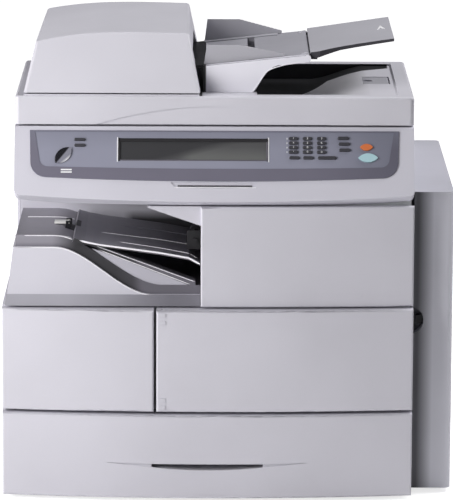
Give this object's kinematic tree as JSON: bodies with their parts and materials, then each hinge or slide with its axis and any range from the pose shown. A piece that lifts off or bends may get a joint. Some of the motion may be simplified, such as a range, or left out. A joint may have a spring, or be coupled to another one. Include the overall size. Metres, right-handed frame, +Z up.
{
  "type": "multifunction printer",
  "caption": "Desk-side office printer with scanner lid, sheet feeder, slanted key panel, side output bin, paper drawer, engine door and side unit.",
  "frame": {"origin": "centre of the bounding box in plan, on the plane that the feet stand on", "axes": "+X to the right seen from the front, +Y to the back, +Z up"},
  "size_m": [0.62, 0.5, 0.6447],
  "materials": {
    "light_cover": "matte",
    "console_light": "satin",
    "dark_panel": "satin",
    "bin_dark": "matte",
    "inner_black": "matte",
    "frame_steel": "satin",
    "rubber_black": "matte",
    "roller_rubber": "matte",
    "glass_clear": "polished",
    "rail_steel": "polished",
    "screen_lcd": "gloss",
    "key_light": "satin",
    "key_orange": "satin",
    "key_cyan": "satin",
    "key_dark": "satin",
    "pad_white": "matte",
    "tray_grey": "matte"
  },
  "bodies": {
    "frame": {"main_frame": "frame_steel", "rubber_feet": "rubber_black", "rear_cover": "light_cover", "left_cover": "light_cover", "left_front_cover": "light_cover", "upper_front_cover": "light_cover", "bin_front_cover": "light_cover", "output_bin": "bin_dark", "exit_housing": "inner_black", "bin_back_cover": "light_cover", "toner_cartridge": "inner_black", "fuser_unit": "inner_black", "power_inlet": "inner_black", "screws": "rail_steel", "scanner_base": "console_light", "scanner_bezel": "console_light", "platen_glass": "glass_clear", "carriage_rail": "rail_steel", "console_housing": "console_light", "console_panel": "dark_panel", "display_screen": "screen_lcd", "lid_hinges": "inner_black"},
    "lid": {"lid_shell": "light_cover", "platen_pad": "pad_white", "adf_base": "light_cover"},
    "adf_cover": {"adf_cover": "light_cover"},
    "input_tray": {"adf_input_tray": "tray_grey"},
    "front_door": {"front_door": "light_cover"},
    "side_door": {"side_door": "light_cover"},
    "mp_tray": {"mp_tray": "light_cover"},
    "cassette": {"cassette_front": "light_cover", "cassette_box": "bin_dark"},
    "front_guide": {"front_paper_guide": "tray_grey"},
    "rear_guide": {"rear_paper_guide": "tray_grey"},
    "document_stopper": {"document_stopper": "tray_grey"},
    "lift_plate": {"lift_plate": "rail_steel"},
    "end_guide": {"cassette_end_guide": "tray_grey"},
    "scan_carriage": {"scan_carriage": "inner_black"},
    "side_latch": {"side_latch": "inner_black"},
    "bin_stopper": {"bin_stopper": "bin_dark"},
    "power_switch": {"power_switch": "inner_black"},
    "adf_roller": {"adf_roller": "roller_rubber"},
    "exit_roller": {"exit_roller": "roller_rubber"},
    "pickup_roller": {"pickup_roller": "roller_rubber"},
    "key_1": {"key_1": "key_light"},
    "key_2": {"key_2": "key_light"},
    "key_3": {"key_3": "key_light"},
    "key_4": {"key_4": "key_light"},
    "key_5": {"key_5": "key_light"},
    "key_6": {"key_6": "key_light"},
    "key_7": {"key_7": "key_light"},
    "key_8": {"key_8": "key_light"},
    "key_9": {"key_9": "key_light"},
    "key_star": {"key_star": "key_light"},
    "key_0": {"key_0": "key_light"},
    "key_hash": {"key_hash": "key_light"},
    "start_key": {"start_key": "key_cyan"},
    "stop_key": {"stop_key": "key_orange"},
    "menu_key": {"menu_key": "key_dark"},
    "function_keys": {"function_keys": "key_light"}
  },
  "joints": [
    {"name": "lid_hinge", "type": "hinge", "parent": "frame", "child": "lid", "pos_m": [-0.02, 0.158, 0.521], "axis": [-1, 0, 0], "range_deg": [0, 65]},
    {"name": "adf_cover_hinge", "type": "hinge", "parent": "lid", "child": "adf_cover", "pos_m": [-0.2776, -0.015, 0.562], "axis": [0, -1, 0], "range_deg": [0, 75]},
    {"name": "input_tray_hinge", "type": "hinge", "parent": "lid", "child": "input_tray", "pos_m": [0.108, -0.02, 0.602], "axis": [0, -1, 0], "range_deg": [0, 75]},
    {"name": "front_door_hinge", "type": "hinge", "parent": "frame", "child": "front_door", "pos_m": [-0.09, -0.23723, 0.198], "axis": [0, 0, -1], "range_deg": [0, 95]},
    {"name": "side_door_hinge", "type": "hinge", "parent": "frame", "child": "side_door", "pos_m": [0.263, 0.228, 0.21], "axis": [0, 0, 1], "range_deg": [0, 85]},
    {"name": "mp_tray_hinge", "type": "hinge", "parent": "side_door", "child": "mp_tray", "pos_m": [0.3055, -0.01, 0.141], "axis": [0, 1, 0], "range_deg": [0, 80]},
    {"name": "cassette_slide", "type": "slide", "parent": "frame", "child": "cassette", "axis": [0, -1, 0], "range_m": [0, 0.24]},
    {"name": "front_guide_slide", "type": "slide", "parent": "lid", "child": "front_guide", "axis": [0, 1, 0], "range_m": [0, 0.034]},
    {"name": "rear_guide_slide", "type": "slide", "parent": "lid", "child": "rear_guide", "axis": [0, -1, 0], "range_m": [0, 0.034]},
    {"name": "document_stopper_hinge", "type": "hinge", "parent": "lid", "child": "document_stopper", "pos_m": [0.223, -0.01, 0.5494], "axis": [0, 1, 0], "range_deg": [0, 85]},
    {"name": "bin_stopper_hinge", "type": "hinge", "parent": "frame", "child": "bin_stopper", "pos_m": [-0.222, -0.1, 0.365], "axis": [0, 1, 0], "range_deg": [0, 80]},
    {"name": "lift_plate_hinge", "type": "hinge", "parent": "cassette", "child": "lift_plate", "pos_m": [-0.044, -0.09, 0.024], "axis": [0, -1, 0], "range_deg": [0, 12]},
    {"name": "end_guide_slide", "type": "slide", "parent": "cassette", "child": "end_guide", "axis": [1, 0, 0], "range_m": [0, 0.06]},
    {"name": "scan_carriage_slide", "type": "slide", "parent": "frame", "child": "scan_carriage", "axis": [1, 0, 0], "range_m": [0, 0.4]},
    {"name": "side_latch_slide", "type": "slide", "parent": "side_door", "child": "side_latch", "axis": [1, 0, 0], "range_m": [0, 0.004], "stiffness_N_per_m": 200},
    {"name": "power_switch_rock", "type": "hinge", "parent": "frame", "child": "power_switch", "pos_m": [-0.303, 0.17, 0.16], "axis": [0, 1, 0], "range_deg": [0, 8]},
    {"name": "adf_roller_spin", "type": "hinge", "parent": "lid", "child": "adf_roller", "pos_m": [-0.0874, -0.02, 0.607], "axis": [0, 1, 0], "continuous": true},
    {"name": "exit_roller_spin", "type": "hinge", "parent": "frame", "child": "exit_roller", "pos_m": [-0.046, -0.09, 0.357], "axis": [0, 1, 0], "continuous": true},
    {"name": "pickup_roller_spin", "type": "hinge", "parent": "frame", "child": "pickup_roller", "pos_m": [0.195, -0.09, 0.107], "axis": [0, 1, 0], "continuous": true},
    {"name": "start_key_press", "type": "slide", "parent": "frame", "child": "start_key", "axis": [0, 0.8653, -0.5013], "range_m": [0, 0.001], "stiffness_N_per_m": 200},
    {"name": "stop_key_press", "type": "slide", "parent": "frame", "child": "stop_key", "axis": [0, 0.8653, -0.5013], "range_m": [0, 0.001], "stiffness_N_per_m": 200},
    {"name": "menu_key_press", "type": "slide", "parent": "frame", "child": "menu_key", "axis": [0, 0.8653, -0.5013], "range_m": [0, 0.001], "stiffness_N_per_m": 200},
    {"name": "function_keys_press", "type": "slide", "parent": "frame", "child": "function_keys", "axis": [0, 0.8653, -0.5013], "range_m": [0, 0.001], "stiffness_N_per_m": 200},
    {"name": "key_1_press", "type": "slide", "parent": "frame", "child": "key_1", "axis": [0, 0.8653, -0.5013], "range_m": [0, 0.001], "stiffness_N_per_m": 200},
    {"name": "key_2_press", "type": "slide", "parent": "frame", "child": "key_2", "axis": [0, 0.8653, -0.5013], "range_m": [0, 0.001], "stiffness_N_per_m": 200},
    {"name": "key_3_press", "type": "slide", "parent": "frame", "child": "key_3", "axis": [0, 0.8653, -0.5013], "range_m": [0, 0.001], "stiffness_N_per_m": 200},
    {"name": "key_4_press", "type": "slide", "parent": "frame", "child": "key_4", "axis": [0, 0.8653, -0.5013], "range_m": [0, 0.001], "stiffness_N_per_m": 200},
    {"name": "key_5_press", "type": "slide", "parent": "frame", "child": "key_5", "axis": [0, 0.8653, -0.5013], "range_m": [0, 0.001], "stiffness_N_per_m": 200},
    {"name": "key_6_press", "type": "slide", "parent": "frame", "child": "key_6", "axis": [0, 0.8653, -0.5013], "range_m": [0, 0.001], "stiffness_N_per_m": 200},
    {"name": "key_7_press", "type": "slide", "parent": "frame", "child": "key_7", "axis": [0, 0.8653, -0.5013], "range_m": [0, 0.001], "stiffness_N_per_m": 200},
    {"name": "key_8_press", "type": "slide", "parent": "frame", "child": "key_8", "axis": [0, 0.8653, -0.5013], "range_m": [0, 0.001], "stiffness_N_per_m": 200},
    {"name": "key_9_press", "type": "slide", "parent": "frame", "child": "key_9", "axis": [0, 0.8653, -0.5013], "range_m": [0, 0.001], "stiffness_N_per_m": 200},
    {"name": "key_star_press", "type": "slide", "parent": "frame", "child": "key_star", "axis": [0, 0.8653, -0.5013], "range_m": [0, 0.001], "stiffness_N_per_m": 200},
    {"name": "key_0_press", "type": "slide", "parent": "frame", "child": "key_0", "axis": [0, 0.8653, -0.5013], "range_m": [0, 0.001], "stiffness_N_per_m": 200},
    {"name": "key_hash_press", "type": "slide", "parent": "frame", "child": "key_hash", "axis": [0, 0.8653, -0.5013], "range_m": [0, 0.001], "stiffness_N_per_m": 200}
  ],
  "couplings": [
    {"joint": "rear_guide_slide", "follows": "front_guide_slide", "ratio": 1}
  ]
}
